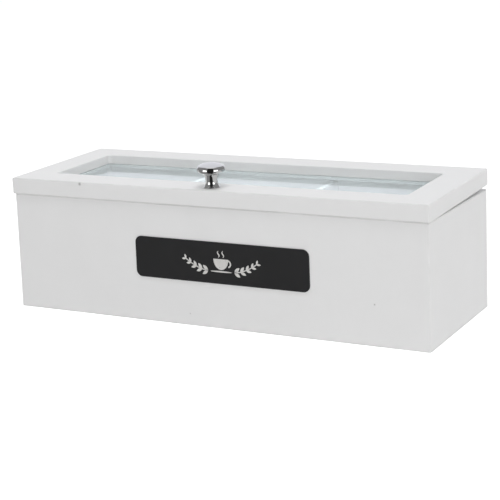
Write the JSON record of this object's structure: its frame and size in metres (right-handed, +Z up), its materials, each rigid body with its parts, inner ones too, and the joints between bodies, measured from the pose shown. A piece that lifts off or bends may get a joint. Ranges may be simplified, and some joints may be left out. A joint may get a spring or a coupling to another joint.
{
  "type": "hinged tea box",
  "caption": "Low white board box for tea bags with compartments, a hinged lid with a glass window, a chrome pull knob and a blank label plate.",
  "frame": {"origin": "middle of the box's footprint, on the surface it stands on", "axes": "+X along the box's length to the right, -Y out of the front with the label, +Y out of the hinged back, +Z up"},
  "size_m": [0.24, 0.0881, 0.0851],
  "materials": {
    "painted_board": "white eggshell paint on fibreboard",
    "window_glass": "clear float glass",
    "chrome_plating": "polished chrome plate",
    "black_plate": "matt black with a worn white motif",
    "zinc_steel": "bright zinc",
    "hinge_steel": "satin nickel"
  },
  "bodies": {
    "box": {"front_panel": "painted_board", "back_panel": "painted_board", "left_end_panel": "painted_board", "right_end_panel": "painted_board", "base_panel": "painted_board", "base_brads": "zinc_steel", "left_divider": "painted_board", "right_divider": "painted_board", "label_plate": "black_plate", "box_hinge_screws": "hinge_steel", "left_hinge_box_leaf": "hinge_steel", "left_hinge_pin": "hinge_steel", "right_hinge_box_leaf": "hinge_steel", "right_hinge_pin": "hinge_steel"},
    "lid": {"lid_frame": "painted_board", "glass_pane": "window_glass", "front_bead": "painted_board", "back_bead": "painted_board", "left_bead": "painted_board", "right_bead": "painted_board", "knob": "chrome_plating", "knob_screw": "zinc_steel", "lid_hinge_screws": "hinge_steel", "left_hinge_lid_leaf": "hinge_steel", "right_hinge_lid_leaf": "hinge_steel"}
  },
  "joints": [
    {"name": "lid_hinge", "type": "hinge", "parent": "box", "child": "lid", "pos_m": [0, 0.0417, 0.064], "axis": [-1, 0, 0], "range_deg": [0, 100]}
  ]
}
